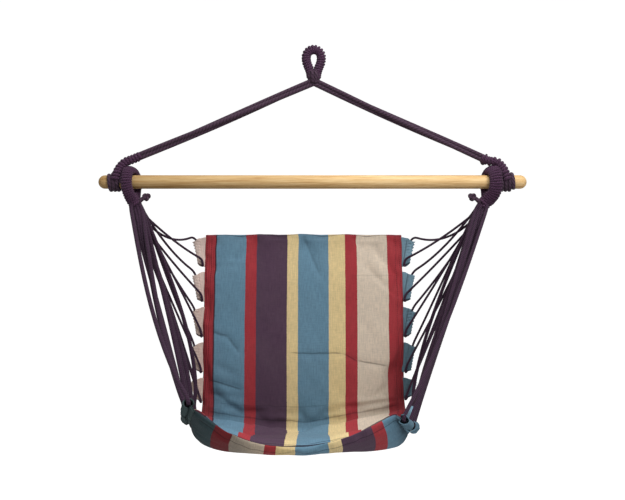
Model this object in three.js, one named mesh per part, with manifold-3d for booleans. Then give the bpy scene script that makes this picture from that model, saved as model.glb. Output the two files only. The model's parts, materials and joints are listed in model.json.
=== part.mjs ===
// Rope hammock chair: a whipped rope eye, two rope legs, a wooden spreader bar and a padded cloth
// cradle that hangs from the bar on twenty thin cords. Millimetres, +Z up, the open front towards -Y.
// The origin is the crown of the eye, where the hook bears.

import * as THREE from "three";
import { mergeVertices } from "three/addons/utils/BufferGeometryUtils.js";
import Module from "manifold-3d";

const wasm = await Module();
wasm.setup();

// ---- driving dimensions -------------------------------------------------------------------------

const GAP = 0.4; // clearance between neighbouring pieces

const EYE_TO_BAR = 300; // from the hook's seat down to the axis of the bar
const BAR_LENGTH = 1000;
const BAR_RADIUS = 16;
const BAR_OFFSET_X = -3; // the bar hangs a little off centre

const EYE_BEND_RADIUS = 17.5; // centre line of the eye's two round ends
const EYE_STRAIGHT = 17.5; // straight side between the two round ends
const EYE_CORE_RADIUS = 7;
const EYE_WHIPPED_RADIUS = 10.5;
const HOOK_FLAT_WIDTH = 12; // flat pressed into the crown by the hook
const HOOK_FLAT_DEPTH = 1;

const FORK_Z = -66; // the legs part here, and every rope joint turns about this height
const FORK_RADIUS = 8;
const LEG_SLOPE = THREE.MathUtils.degToRad(23);
const LEG_CORD_RADIUS = 4;
const LEG_BUNDLE_RADIUS = LEG_CORD_RADIUS + 0.85; // triangle of three cords, centre to cord centre
const LEG_END_X = 404; // the leg's cords enter the whipped bend here
const LEG_WHIPPED_RADIUS = 9;
const TURNS_X = 457; // middle of the rope turns at each end of the bar
const TURNS_WIDTH = 26;
const TURN_COUNT = 3;
const TURN_ROPE = 6.6; // thickness of one turn

const SLING_EYE_X = 428; // middle of each cloth-side rope loop on the bar
const SLING_EYE_RADIUS = 27; // centre line of the loop round the bar
const SLING_CORE = { across: 10, deep: 7 };
const SLING_WHIPPED = { across: 15, deep: 10 };
const THROAT_CORE_RADIUS = 11.5;
const THROAT_WHIPPED_RADIUS = 14.5;
const THROAT_TOP = new THREE.Vector3(-424, 0, -30);
const THROAT_END = new THREE.Vector3(-407, 0, -64);

const CORD_RADIUS = 2.4;
const CORD_PITCH = 6; // spacing of the strands where they leave the throat
const STRANDS_PER_ROW = 4;
const STRANDS_Z = THROAT_END.z - 7.5; // clear of the leaning end of the throat
const SLACK = 14; // sag of the two slack strands at the top of each side

const CLOTH_OFFSET_X = -22; // the cloth hangs to one side, because its cords differ in length
const CLOTH_HALF_WIDTH = 244.5;
const CLOTH_THICKNESS = 21;
const FABRIC = 2;
const PAD_INSET = 8;
const FRONT_SAG = 95; // how far the middle of the front hem hangs below its corners
const SAG_POWER = 1.6;
const BACK_CURL = 14; // how far the back's side edges stand forward of its middle

const TABS = 5; // scallops on each side of the back, and again on each side of the seat
const TAB_PITCH = 90;
const SEAT_TAB_PITCH = 82;
const TAB_LENGTH = 55;
const TAB_DEPTH = 26;
const TAB_CORNER = 12;
const TAB_THICKNESS = 11;
const BAND_WIDTH = 5; // strip that joins the scallops along the seam
const TUNNEL_RADIUS = 4.1;
const TUNNEL_INSET = 13; // seam to the middle of the cord tunnel
const BACK_TAB_START = 6;
const SEAT_TAB_START = 22; // from the crease to the first scallop of the seat
const BACK_TAB_LIFT = THREE.MathUtils.degToRad(20); // scallops lean towards the cords
const SEAT_TAB_LIFT = THREE.MathUtils.degToRad(55);

const WOOD = new THREE.MeshStandardMaterial({ color: 0xd9a86c, roughness: 0.6, metalness: 0 });
const ROPE = new THREE.MeshStandardMaterial({ color: 0x40303d, roughness: 0.95, metalness: 0 });
const CORD = new THREE.MeshStandardMaterial({ color: 0x2a2330, roughness: 0.9, metalness: 0 });
const STRIPED = new THREE.MeshStandardMaterial({ color: 0x5c7c8e, roughness: 0.95, metalness: 0 });
const LINING = new THREE.MeshStandardMaterial({ color: 0x6b6f80, roughness: 0.95, metalness: 0 });
const PADDING = new THREE.MeshStandardMaterial({ color: 0xe9e4da, roughness: 1, metalness: 0 });
const BORDER = new THREE.MeshStandardMaterial({ color: 0x8c8f94, roughness: 0.95, metalness: 0 });

// ---- shared helpers -----------------------------------------------------------------------------

const vec = (x, y, z) => new THREE.Vector3(x, y, z);
const SIDES = [
  { name: "left", sign: -1 },
  { name: "right", sign: 1 },
];

// A path through given points, stepped point by point, so that each point becomes one cross-section.
class RopePath extends THREE.Curve {
  constructor(points) {
    super();
    this.points = points;
  }

  getPoint(t, target = new THREE.Vector3()) {
    const last = this.points.length - 1;
    const index = Math.min(Math.floor(t * last), last - 1);
    return target.lerpVectors(this.points[index], this.points[index + 1], t * last - index);
  }

  // At a corner the direction is the mean of the directions on both sides of it.
  getTangent(t, target = new THREE.Vector3()) {
    const last = this.points.length - 1;
    const index = Math.round(t * last);
    const before = this.points[Math.max(index - 1, 0)];
    const here = this.points[index];
    const after = this.points[Math.min(index + 1, last)];
    const incoming = here.clone().sub(before).normalize();
    return target.copy(after).sub(here).normalize().add(incoming).normalize();
  }

  getPointAt(u, target) {
    return this.getPoint(u, target);
  }

  getTangentAt(u, target) {
    return this.getTangent(u, target);
  }
}

function ringOf(radius, sides) {
  const ring = [];
  for (let i = 0; i < sides; i++) {
    const angle = ((i + 0.5) / sides) * 2 * Math.PI;
    ring.push(new THREE.Vector2(radius * Math.cos(angle), radius * Math.sin(angle)));
  }
  return ring;
}

function rope(points, radius, sides = 6) {
  const section = new THREE.Shape(ringOf(radius, sides));
  return new THREE.ExtrudeGeometry(section, {
    steps: points.length - 1,
    extrudePath: new RopePath(points),
  });
}

// A hollow rope cover with open ends; its faceted bore stays outside the inner radius.
function sleeve(points, inner, outer, sides = 10) {
  const section = new THREE.Shape(ringOf(outer, sides));
  section.holes.push(new THREE.Path(ringOf(inner / Math.cos(Math.PI / sides), sides)));
  return new THREE.ExtrudeGeometry(section, {
    steps: points.length - 1,
    extrudePath: new RopePath(points),
  });
}

// The same geometry with shared corners and nothing but positions.
function merged(geometry) {
  const bare = geometry.clone();
  bare.deleteAttribute("normal");
  bare.deleteAttribute("uv");
  return mergeVertices(bare, 1e-3);
}

function toSolid(geometry) {
  const bare = merged(geometry);
  return new wasm.Manifold(
    new wasm.Mesh({
      numProp: 3,
      vertProperties: bare.attributes.position.array,
      triVerts: new Uint32Array(bare.index.array),
    }),
  );
}

function toGeometry(solid) {
  const made = solid.getMesh();
  const geometry = new THREE.BufferGeometry();
  geometry.setAttribute("position", new THREE.BufferAttribute(made.vertProperties, 3));
  geometry.setIndex(new THREE.BufferAttribute(made.triVerts, 1));
  geometry.computeVertexNormals();
  return geometry;
}

function joined(...geometries) {
  return toGeometry(geometries.map(toSolid).reduce((all, next) => all.add(next)));
}

function cut(geometry, tools) {
  return toGeometry(tools.map(toSolid).reduce((left, tool) => left.subtract(tool), toSolid(geometry)));
}

// Moves every vertex of a geometry with a function of its position.
function warp(geometry, move) {
  const position = geometry.attributes.position;
  const point = new THREE.Vector3();
  for (let i = 0; i < position.count; i++) {
    move(point.fromBufferAttribute(position, i));
    position.setXYZ(i, point.x, point.y, point.z);
  }
  geometry.computeVertexNormals();
  return geometry;
}

function piece(parent, name, geometry, material) {
  const mesh = new THREE.Mesh(geometry, material);
  mesh.name = name;
  parent.add(mesh);
  return mesh;
}

// ---- the eye and the fork -----------------------------------------------------------------------

const EYE_ARC_Z = EYE_WHIPPED_RADIUS - HOOK_FLAT_DEPTH - EYE_BEND_RADIUS; // centre of the upper bend

// Point of the eye's centre line at an angle round it; 90 degrees is the crown.
function eyePoint(degrees) {
  const angle = THREE.MathUtils.degToRad(degrees);
  const drop = Math.sin(angle) < 0 ? EYE_STRAIGHT : 0;
  return vec(
    EYE_BEND_RADIUS * Math.cos(angle),
    0,
    EYE_ARC_Z - drop + EYE_BEND_RADIUS * Math.sin(angle),
  );
}

function eyeLoop() {
  const ring = new THREE.TorusGeometry(EYE_BEND_RADIUS, EYE_CORE_RADIUS, 8, 20);
  ring.rotateX(Math.PI / 2);
  return warp(ring, (p) => {
    p.z += EYE_ARC_Z - (p.z < -1e-6 ? EYE_STRAIGHT : 0);
  });
}

function eyeWhipping() {
  const points = [];
  for (let angle = -52; angle <= 232; angle += 284 / 18) points.push(eyePoint(angle));
  const cover = sleeve(points, EYE_CORE_RADIUS + GAP, EYE_WHIPPED_RADIUS);
  const hook = new THREE.BoxGeometry(HOOK_FLAT_WIDTH, 4 * EYE_WHIPPED_RADIUS, 8);
  hook.translate(0, 0, -4);
  return cut(cover, [hook]);
}

function addEye(hammock) {
  piece(hammock, "top_eye_loop", eyeLoop(), ROPE);
  piece(hammock, "top_eye_whipping", eyeWhipping(), ROPE);

  const eyeBottom = EYE_ARC_Z - EYE_STRAIGHT - EYE_BEND_RADIUS - EYE_CORE_RADIUS;
  const barrelTop = eyeBottom - GAP;
  const barrelEnd = FORK_Z + FORK_RADIUS + GAP;
  const barrel = new THREE.CylinderGeometry(15, 12.5, barrelTop - barrelEnd, 14);
  barrel.rotateX(Math.PI / 2);
  barrel.translate(0, 0, (barrelTop + barrelEnd) / 2);
  piece(hammock, "throat_whipping", barrel, ROPE);

  const fork = new THREE.SphereGeometry(FORK_RADIUS, 12, 8);
  fork.rotateX(Math.PI / 2);
  fork.translate(0, 0, FORK_Z);
  piece(hammock, "fork_lashing", fork, ROPE);
}

// ---- the two legs and their turns on the bar -----------------------------------------------------

// Height above the bar's axis of the left leg's centre line at a distance from the middle.
const legHeight = (x) => EYE_TO_BAR + FORK_Z - x * Math.tan(LEG_SLOPE);

// The three cords of a leg lie in a triangle, one on top.
function legCord(index) {
  const along = vec(-Math.cos(LEG_SLOPE), 0, -Math.sin(LEG_SLOPE));
  const above = vec(-Math.sin(LEG_SLOPE), 0, Math.cos(LEG_SLOPE));
  const angle = THREE.MathUtils.degToRad(90 + 120 * index);
  const offset = above.multiplyScalar(LEG_BUNDLE_RADIUS * Math.sin(angle));
  offset.y += LEG_BUNDLE_RADIUS * Math.cos(angle);
  const start = along.clone().multiplyScalar(FORK_RADIUS + 4).add(vec(0, 0, legHeight(0)));
  const end = vec(-LEG_END_X, 0, legHeight(LEG_END_X));
  return rope([start.add(offset), end.add(offset)], LEG_CORD_RADIUS, 8);
}

function legBend() {
  const arch = new THREE.CubicBezierCurve3(
    vec(-LEG_END_X - 2, 0, legHeight(LEG_END_X + 2)),
    vec(-LEG_END_X - 30, 0, legHeight(LEG_END_X) - 8),
    vec(-TURNS_X, 0, 58),
    vec(-TURNS_X, 0, BAR_RADIUS + TURN_ROPE + 2.5),
  );
  return rope(arch.getPoints(7), LEG_WHIPPED_RADIUS, 10);
}

// Three touching turns of rope round the bar, as one body.
function barTurns() {
  const inner = BAR_RADIUS + 0.6;
  const half = TURNS_WIDTH / 2;
  const outline = [new THREE.Vector2(inner, -half)];
  for (let turn = 0; turn < TURN_COUNT; turn++) {
    for (let step = 0; step <= 4; step++) {
      const along = -half + ((turn + step / 4) * TURNS_WIDTH) / TURN_COUNT;
      const crown = 0.55 + 0.45 * Math.sin((step / 4) * Math.PI);
      if (step > 0 || turn === 0) outline.push(new THREE.Vector2(inner + TURN_ROPE * crown, along));
    }
  }
  outline.push(new THREE.Vector2(inner, half), outline[0].clone());
  const turns = new THREE.LatheGeometry(outline, 18);
  turns.rotateZ(Math.PI / 2);
  turns.translate(-TURNS_X, 0, 0);
  return turns;
}

function mirrored(geometry, sign) {
  if (sign < 0) return geometry;
  return geometry.rotateZ(Math.PI);
}

function addLegs(barFrame) {
  for (const { name, sign } of SIDES) {
    for (let i = 0; i < 3; i++) {
      piece(barFrame, `${name}_hanger_cord_${i + 1}`, mirrored(legCord(i), sign), ROPE);
    }
    piece(barFrame, `${name}_hanger_end_whipping`, mirrored(legBend(), sign), ROPE);
    piece(barFrame, `${name}_hanger_end_turns`, mirrored(barTurns(), sign), ROPE);
  }
  const knot = new THREE.SphereGeometry(6, 10, 7);
  knot.scale(1.25, 1, 1);
  knot.translate(398, 0, legHeight(398) - LEG_WHIPPED_RADIUS - 8);
  piece(barFrame, "right_hanger_tail_knot", knot, ROPE);
}

// ---- the spreader bar ---------------------------------------------------------------------------

function spreaderBar() {
  const END_STEPS = 4;
  const half = BAR_LENGTH / 2 - BAR_RADIUS;
  const profile = [];
  for (const end of [-1, 1]) {
    for (let i = 0; i <= END_STEPS; i++) {
      const angle = ((end < 0 ? i : END_STEPS - i) / END_STEPS) * (Math.PI / 2);
      const height = end * (half + BAR_RADIUS * Math.cos(angle));
      profile.push(new THREE.Vector2(BAR_RADIUS * Math.sin(angle), height));
    }
  }
  const bar = new THREE.LatheGeometry(profile, 20);
  return bar.rotateZ(Math.PI / 2);
}

// ---- the cloth's rope loops on the bar -------------------------------------------------------------

function slingEye() {
  const ring = new THREE.TorusGeometry(SLING_EYE_RADIUS, SLING_CORE.deep, 8, 20);
  ring.rotateY(Math.PI / 2);
  ring.scale(SLING_CORE.across / SLING_CORE.deep, 1, 1);
  ring.translate(-SLING_EYE_X, 0, 0);
  const stub = rope([THROAT_TOP, THROAT_END], THROAT_CORE_RADIUS, 10);
  return joined(ring, stub);
}

function slingEyeWhipping() {
  const points = [];
  for (let angle = -20; angle <= 200; angle += 20) {
    const turn = THREE.MathUtils.degToRad(angle);
    points.push(vec(0, SLING_EYE_RADIUS * Math.cos(turn), SLING_EYE_RADIUS * Math.sin(turn)));
  }
  const cover = sleeve(points, SLING_CORE.deep + GAP, SLING_WHIPPED.deep);
  cover.scale(SLING_WHIPPED.across / SLING_WHIPPED.deep, 1, 1);
  return cover.translate(-SLING_EYE_X, 0, 0);
}

function throatWhipping() {
  const top = THROAT_TOP.clone().lerp(THROAT_END, 0.35);
  const end = THROAT_TOP.clone().lerp(THROAT_END, 0.98);
  return sleeve([top, end], THROAT_CORE_RADIUS + GAP, THROAT_WHIPPED_RADIUS, 12);
}

function slingTailKnot() {
  const knot = new THREE.SphereGeometry(6.5, 10, 7);
  knot.scale(1, 1, 1.2);
  knot.translate(-381, 0, -36);
  const tail = rope([vec(-399, 0, -46), vec(-390, 0, -42), vec(-381, 0, -36)], 2.5, 6);
  return joined(knot, tail);
}

function addSlingEyes(barFrame) {
  for (const { name, sign } of SIDES) {
    piece(barFrame, `${name}_sling_eye`, mirrored(slingEye(), sign), ROPE);
    piece(barFrame, `${name}_sling_eye_whipping`, mirrored(slingEyeWhipping(), sign), ROPE);
    piece(barFrame, `${name}_sling_throat_whipping`, mirrored(throatWhipping(), sign), ROPE);
    piece(barFrame, `${name}_sling_tail_knot`, mirrored(slingTailKnot(), sign), ROPE);
  }
}

// ---- the shape of the hanging cloth ----------------------------------------------------------------

// Middle line of the cloth's upper face: the back, the bend at the crease, then the seat.
const BACK_TOP = vec(0, 165, -125);
const BACK_END = vec(0, 86, -540);
const CREASE_CORNER = vec(0, 78, -582);
const SEAT_START = vec(0, 28, -594);
const SEAT_FRONT = vec(0, -335, -566);

const middleLine = new THREE.CurvePath();
middleLine.add(new THREE.LineCurve3(BACK_TOP, BACK_END));
middleLine.add(new THREE.QuadraticBezierCurve3(BACK_END, CREASE_CORNER, SEAT_START));
middleLine.add(
  new THREE.CubicBezierCurve3(SEAT_START, vec(0, -57, -603), vec(0, -230, -590), SEAT_FRONT),
);

const CLOTH_LENGTH = middleLine.getLength();
const [BACK_LENGTH, BEND_END] = middleLine.getCurveLengths();
const CREASE = (BACK_LENGTH + BEND_END) / 2; // the seat folds about this line across the cloth

const clamp01 = (t) => THREE.MathUtils.clamp(t, 0, 1);

// How far the cloth's side edge lies from its middle line, at a distance s along the cloth.
function edgeOffset(s) {
  const curl = BACK_CURL * Math.sin(Math.PI * clamp01(s / CREASE));
  const lift = FRONT_SAG * clamp01((s - BEND_END) / (CLOTH_LENGTH - BEND_END)) ** SAG_POWER;
  return vec(0, -curl, lift);
}

// A point of the upper face, x across and s along the cloth.
function faceAt(x, s) {
  const inside = clamp01(s / CLOTH_LENGTH);
  const point = middleLine.getPointAt(inside);
  const offset = edgeOffset(s);
  const sag = offset.length() / CLOTH_HALF_WIDTH;
  const across = x / CLOTH_HALF_WIDTH;
  point.addScaledVector(offset, across * across);
  point.x = CLOTH_OFFSET_X + x * (1 - (2 / 3) * sag * sag);
  return point;
}

// Directions at a point of the cloth: across it, along it and out of its lower face.
function axesAt(x, s) {
  const STEP = 0.5;
  const across = faceAt(x + STEP, s).sub(faceAt(x - STEP, s)).normalize();
  const low = Math.max(s - STEP, 0);
  const high = Math.min(s + STEP, CLOTH_LENGTH);
  const along = faceAt(x, high).sub(faceAt(x, low)).normalize();
  const out = across.clone().cross(along).normalize();
  return { across, along, out };
}

// From flat cloth (x across, s along, depth below the upper face) to the hanging cloth.
function onCloth(x, s, depth) {
  const inner = THREE.MathUtils.clamp(x, -CLOTH_HALF_WIDTH, CLOTH_HALF_WIDTH);
  const beyond = Math.abs(x - inner);
  const { across, out } = axesAt(inner, s);
  const point = faceAt(inner, s);
  if (beyond === 0) return point.addScaledVector(out, depth);
  const middle = CLOTH_THICKNESS / 2;
  const share = clamp01((s - BACK_LENGTH) / (BEND_END - BACK_LENGTH));
  const lift = BACK_TAB_LIFT + share * (SEAT_TAB_LIFT - BACK_TAB_LIFT);
  const outward = across.clone().multiplyScalar(Math.sign(x));
  const reach = outward.clone().multiplyScalar(Math.cos(lift)).addScaledVector(out, -Math.sin(lift));
  const below = out.clone().multiplyScalar(Math.cos(lift)).addScaledVector(outward, Math.sin(lift));
  const clear = (TAB_THICKNESS / 2) * Math.sin(lift); // keeps a leaning scallop off the cloth's edge
  point.addScaledVector(out, middle).addScaledVector(reach, beyond).addScaledVector(outward, clear);
  return point.addScaledVector(below, depth - middle);
}

// A box's front and back faces are split along opposite diagonals; this turns the back's, so that
// stacked slabs stay parallel when they are bent.
function alignDiagonals(box) {
  const BACK_FACE = 5;
  const corners = box.index.array;
  const { start, count } = box.groups[BACK_FACE];
  for (let i = start; i < start + count; i += 6) {
    const [a, b, d, , c] = corners.slice(i, i + 5);
    corners.set([a, b, c, a, c, d], i);
  }
  return box;
}

// A slab of cloth with its corners on the given lines across and along, between two depths.
function sheet(across, along, top, bottom) {
  const columns = across.length - 1;
  const rows = along.length - 1;
  const slab = new THREE.BoxGeometry(columns, rows, 1, columns, rows, 1);
  return warp(alignDiagonals(slab), (p) => {
    const x = across[Math.round(p.x + columns / 2)];
    const s = along[Math.round(p.y + rows / 2)];
    p.copy(onCloth(x, s, p.z < 0 ? top : bottom));
  });
}

function evenly(from, to, count) {
  return Array.from({ length: count + 1 }, (_, i) => THREE.MathUtils.lerp(from, to, i / count));
}

// Three layers share their lines, so that they stay parallel: face fabric, padding and lining.
function addPanels(barFrame) {
  const COLUMNS = 6;
  const ROWS = 7;
  const half = CLOTH_HALF_WIDTH;
  const padAcross = evenly(PAD_INSET - half, half - PAD_INSET, COLUMNS);
  const rear = CLOTH_THICKNESS - FABRIC;
  const parts = [
    { names: ["back_front_panel", "back_padding", "back_rear_panel"], from: 0, to: CREASE - GAP },
    { names: ["seat_top_panel", "seat_padding", "seat_bottom_panel"], from: CREASE + GAP, to: CLOTH_LENGTH },
  ];
  for (const { names, from, to } of parts) {
    const [face, pad, lining] = names;
    const padAlong = evenly(from + PAD_INSET, to - PAD_INSET, ROWS);
    const across = [-half, ...padAcross, half];
    const along = [from, ...padAlong, to];
    piece(barFrame, face, sheet(across, along, 0, FABRIC), STRIPED);
    piece(barFrame, pad, sheet(padAcross, padAlong, FABRIC + GAP, rear - GAP), PADDING);
    piece(barFrame, lining, sheet(across, along, rear, CLOTH_THICKNESS), LINING);
  }
}

// ---- the scalloped borders and the cords through them -----------------------------------------------

const tabStarts = {
  back: Array.from({ length: TABS }, (_, k) => BACK_TAB_START + k * TAB_PITCH),
  seat: Array.from({ length: TABS }, (_, k) => CREASE + SEAT_TAB_START + k * SEAT_TAB_PITCH),
};

// Mirrors a flat shape to one side of the cloth and bends it with the cloth.
function hang(geometry, sign) {
  const flat = merged(geometry);
  if (sign < 0) {
    flat.scale(-1, 1, 1);
    flat.index.array.reverse();
  }
  return warp(flat, (p) => p.copy(onCloth(p.x, p.y, p.z)));
}

function scallop(start) {
  const root = CLOTH_HALF_WIDTH + 2;
  const tip = CLOTH_HALF_WIDTH + TAB_DEPTH;
  const middle = start + TAB_LENGTH / 2;
  const end = start + TAB_LENGTH;
  const outline = new THREE.Shape();
  outline.moveTo(root, start);
  outline.lineTo(tip - TAB_CORNER, start);
  outline.lineTo(tip, start + TAB_CORNER);
  outline.lineTo(tip, middle);
  outline.lineTo(tip, end - TAB_CORNER);
  outline.lineTo(tip - TAB_CORNER, end);
  outline.lineTo(root, end);
  outline.lineTo(root, middle);
  const tab = new THREE.ExtrudeGeometry(outline, { depth: TAB_THICKNESS, bevelEnabled: false });
  return tab.translate(0, 0, (CLOTH_THICKNESS - TAB_THICKNESS) / 2);
}

function tunnel(start) {
  const bore = new THREE.CylinderGeometry(TUNNEL_RADIUS, TUNNEL_RADIUS, TAB_LENGTH + 4, 8, 2);
  return bore.translate(CLOTH_HALF_WIDTH + TUNNEL_INSET, start + TAB_LENGTH / 2, CLOTH_THICKNESS / 2);
}

// One border: a narrow band along the seam with five rounded tabs, each with a tunnel along it.
function border(starts, sign) {
  const seam = CLOTH_HALF_WIDTH + GAP;
  const sides = [sign * seam, sign * (seam + BAND_WIDTH)].sort((a, b) => a - b);
  const corners = starts.flatMap((start) => evenly(start, start + TAB_LENGTH, 2));
  const top = (CLOTH_THICKNESS - TAB_THICKNESS) / 2;
  const band = sheet(sides, corners, top + 0.5, top + TAB_THICKNESS - 0.5);
  const solid = joined(band, ...starts.map((start) => hang(scallop(start), sign)));
  return cut(solid, starts.map((start) => hang(tunnel(start), sign)));
}

// Where a cord meets a tunnel: the mouth, the way out of it and the face side of the scallop.
function mouthAt(sign, s, outwards) {
  const x = sign * (CLOTH_HALF_WIDTH + TUNNEL_INSET);
  const middle = CLOTH_THICKNESS / 2;
  const point = onCloth(x, s, middle);
  const face = onCloth(x, s, middle - 1).sub(point);
  const inside = onCloth(x, s - (outwards * TAB_LENGTH) / 2, middle);
  return { point, face, inside, way: point.clone().sub(inside).normalize() };
}

// The bend of a cord from a tunnel's mouth towards its place in the throat.
function cordBend({ point, face, way }, goal) {
  const reach = (forward, sideways = 0) =>
    point.clone().addScaledVector(way, forward).addScaledVector(face, sideways);
  const heading = goal.clone().sub(point).normalize();
  if (heading.dot(way) > Math.cos(THREE.MathUtils.degToRad(118))) {
    const corner = reach(7.5);
    const leave = corner.clone().addScaledVector(heading, 8);
    return new THREE.QuadraticBezierCurve3(reach(2), corner, leave).getPoints(3);
  }
  return new THREE.CubicBezierCurve3(reach(2), reach(15), reach(15, 11), reach(0, 11)).getPoints(5);
}

// A strand's place in the throat: strands are laid in rows from the back to the front, so none cross.
// The strand that leaves a scallop shares a row with the one that enters the next scallop.
function throatPlace(sign, strand) {
  const row = Math.floor((strand + 1) / STRANDS_PER_ROW);
  const column = (strand + 1) % STRANDS_PER_ROW;
  const rows = (4 * TABS) / STRANDS_PER_ROW + 1;
  const x = sign * (CORD_PITCH * (column - (STRANDS_PER_ROW - 1) / 2) - THROAT_END.x);
  const y = CORD_PITCH * ((rows - 1) / 2 - row);
  return vec(x, y, STRANDS_Z);
}

function sagging(from, to, drop) {
  const middle = from.clone().lerp(to, 0.45).add(vec(0, 0, -2 * drop));
  return new THREE.QuadraticBezierCurve3(from, middle, to).getPoints(6).slice(1, -1);
}

// One cord of a side: down from the throat, through one scallop and up again.
function cord(sign, index) {
  const starts = [...tabStarts.back, ...tabStarts.seat];
  const down = throatPlace(sign, 2 * index);
  const up = throatPlace(sign, 2 * index + 1);
  const entry = mouthAt(sign, starts[index], -1);
  const exit = mouthAt(sign, starts[index] + TAB_LENGTH, 1);
  const into = cordBend(entry, down).reverse();
  const out = cordBend(exit, up);
  const slack = index === 0 ? sagging(down, into[0], SLACK) : [];
  return rope([down, ...slack, ...into, entry.inside, ...out, up], CORD_RADIUS, 6);
}

function addBorders(barFrame) {
  for (const { name, sign } of SIDES) {
    piece(barFrame, `${name}_back_scallops`, border(tabStarts.back, sign), BORDER);
    piece(barFrame, `${name}_seat_scallops`, border(tabStarts.seat, sign), BORDER);
    for (let i = 0; i < 2 * TABS; i++) {
      const number = String(i + 1).padStart(2, "0");
      piece(barFrame, `${name}_cord_${number}`, cord(sign, i), CORD);
    }
  }
}

// ---- the assembly ---------------------------------------------------------------------------------

const hammock = new THREE.Group();
addEye(hammock);

const barFrame = new THREE.Group(); // heights in here are measured from the bar's axis
barFrame.position.set(BAR_OFFSET_X, 0, -EYE_TO_BAR);
hammock.add(barFrame);
addLegs(barFrame);
piece(barFrame, "spreader_bar", spreaderBar(), WOOD);
addSlingEyes(barFrame);
addPanels(barFrame);
addBorders(barFrame);

export default hammock;
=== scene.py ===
"""Rope hammock chair: whipped ropes, a wooden spreader bar and a padded striped cradle.

Everything is in metres, in the frame's own axes: the hook bears at the origin, +X runs along the bar
and the open front faces -Y. Cloth is described flat first, by x across it and s along it from the top
of the back to the front of the seat, and then hung on the cradle's curve.
"""

import json
from math import atan, cos, pi, radians, sin, tan

import bpy
import numpy as np
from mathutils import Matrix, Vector


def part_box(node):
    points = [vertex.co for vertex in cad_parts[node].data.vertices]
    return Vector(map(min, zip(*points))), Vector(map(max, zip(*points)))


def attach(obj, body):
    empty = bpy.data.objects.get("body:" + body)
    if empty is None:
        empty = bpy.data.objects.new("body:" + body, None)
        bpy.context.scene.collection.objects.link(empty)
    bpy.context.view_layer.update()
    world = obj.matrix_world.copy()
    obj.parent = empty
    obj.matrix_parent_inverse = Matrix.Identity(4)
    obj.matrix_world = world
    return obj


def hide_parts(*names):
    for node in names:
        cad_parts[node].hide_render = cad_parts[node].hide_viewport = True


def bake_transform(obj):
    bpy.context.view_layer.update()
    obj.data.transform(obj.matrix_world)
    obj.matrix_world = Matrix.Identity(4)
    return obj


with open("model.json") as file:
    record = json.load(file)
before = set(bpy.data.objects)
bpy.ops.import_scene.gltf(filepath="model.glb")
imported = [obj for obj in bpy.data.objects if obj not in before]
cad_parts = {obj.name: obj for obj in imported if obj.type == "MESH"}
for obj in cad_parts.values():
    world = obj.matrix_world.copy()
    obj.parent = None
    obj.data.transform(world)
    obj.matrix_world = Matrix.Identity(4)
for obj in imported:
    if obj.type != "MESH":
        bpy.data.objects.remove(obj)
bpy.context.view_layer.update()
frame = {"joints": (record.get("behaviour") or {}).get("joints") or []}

MM = 0.001
scene = bpy.context.scene

# ---- places taken from the frame ----

bar_low, bar_high = (np.array(corner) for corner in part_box("spreader_bar"))
BAR_CENTRE = (bar_low + bar_high) / 2
BAR_RADIUS = (bar_high[2] - bar_low[2]) / 2
BAR_LENGTH = bar_high[0] - bar_low[0]
joints = {joint["name"]: joint for joint in frame["joints"]}
FORK = np.array(joints["hanger_swing"]["pos_m"], float)

# ---- driving dimensions of the cloth ----

HALF_WIDTH = 244.5 * MM
THICKNESS = 19 * MM
CLOTH_X = -22 * MM + BAR_CENTRE[0]  # the cloth hangs a little to one side of the bar's middle
SAG_LIFTS = (88 * MM, 84 * MM)  # how high the front rises at its left and its right corner
SAG_SHAPES = (2.6, 1.5)  # how late it rises towards each of them
SAG_POWER = 2.2  # how late the seat starts to rise on its way to the front
CORNER_LIFTS = (30 * MM, 44 * MM)  # how high the crease rises at its left and its right end
CORNER_SHAPES = (2.0, 1.3)
CORNER_REACH = 60 * MM  # how far that rise spreads along the cloth
EDGE_LIFTS = (28 * MM, 20 * MM)  # how high the seat's side edges rise between the crease and the front
EDGE_SHAPE = 6  # the higher, the closer that rise keeps to the edge
ROLL_DROPS = (10 * MM, 26 * MM)  # how far the front corners roll back down at their very ends
ROLL_SHAPE = 14  # the same for the roll
TUCKS = (0.0, 0.08)  # share of its width that the seat loses towards its front corners
UNDER_DROP = 14 * MM  # how far the seat's lower face hangs below its padding
BACK_CURL = 14 * MM  # how far the back's side edges come forward
TABS = 5
TAB_LENGTH = 55 * MM
TAB_DEPTH = 26 * MM
TUNNEL_INSET = 14 * MM  # from the seam to the middle of the cord's tunnel
TUNNEL_SLANT = 6.5 * MM  # the tunnels of the back start further out and end nearer the seam
BACK_TAB_START = 18 * MM
BACK_TAB_PITCH = 87 * MM
SEAT_TAB_START = 22 * MM
SEAT_TAB_PITCH = 82 * MM
BACK_TAB_LIFT = radians(20)  # how far the scallops turn up from the cloth
SEAT_TAB_LIFT = radians(34)
CORD_RADIUS = 2.8 * MM
SEAT_CORD_RADII = {-1: 5.0 * MM, 1: 4.2 * MM}  # the left bundle looks thicker


# ---- meshes ----

def unit(v):
    return v / np.linalg.norm(v, axis=-1, keepdims=True)


def spline(points, spacing):
    """Evenly spaced points on a Catmull-Rom curve through the given ones."""
    p = np.array(points, float)
    p = np.vstack([2 * p[0] - p[1], p, 2 * p[-1] - p[-2]])
    t = np.linspace(0, 1, 24, endpoint=False)[:, None]
    rows = []
    for a, b, c, d in zip(p, p[1:], p[2:], p[3:]):
        cubic = -a + 3 * b - 3 * c + d
        square = 2 * a - 5 * b + 4 * c - d
        rows.append(0.5 * (2 * b + (c - a) * t + square * t**2 + cubic * t**3))
    return even(np.vstack(rows + [p[-2:-1]]), spacing)


def reach_along(path):
    """Length along a path up to each of its points."""
    return np.concatenate([[0], np.cumsum(np.linalg.norm(np.diff(path, axis=0), axis=1))])


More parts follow.
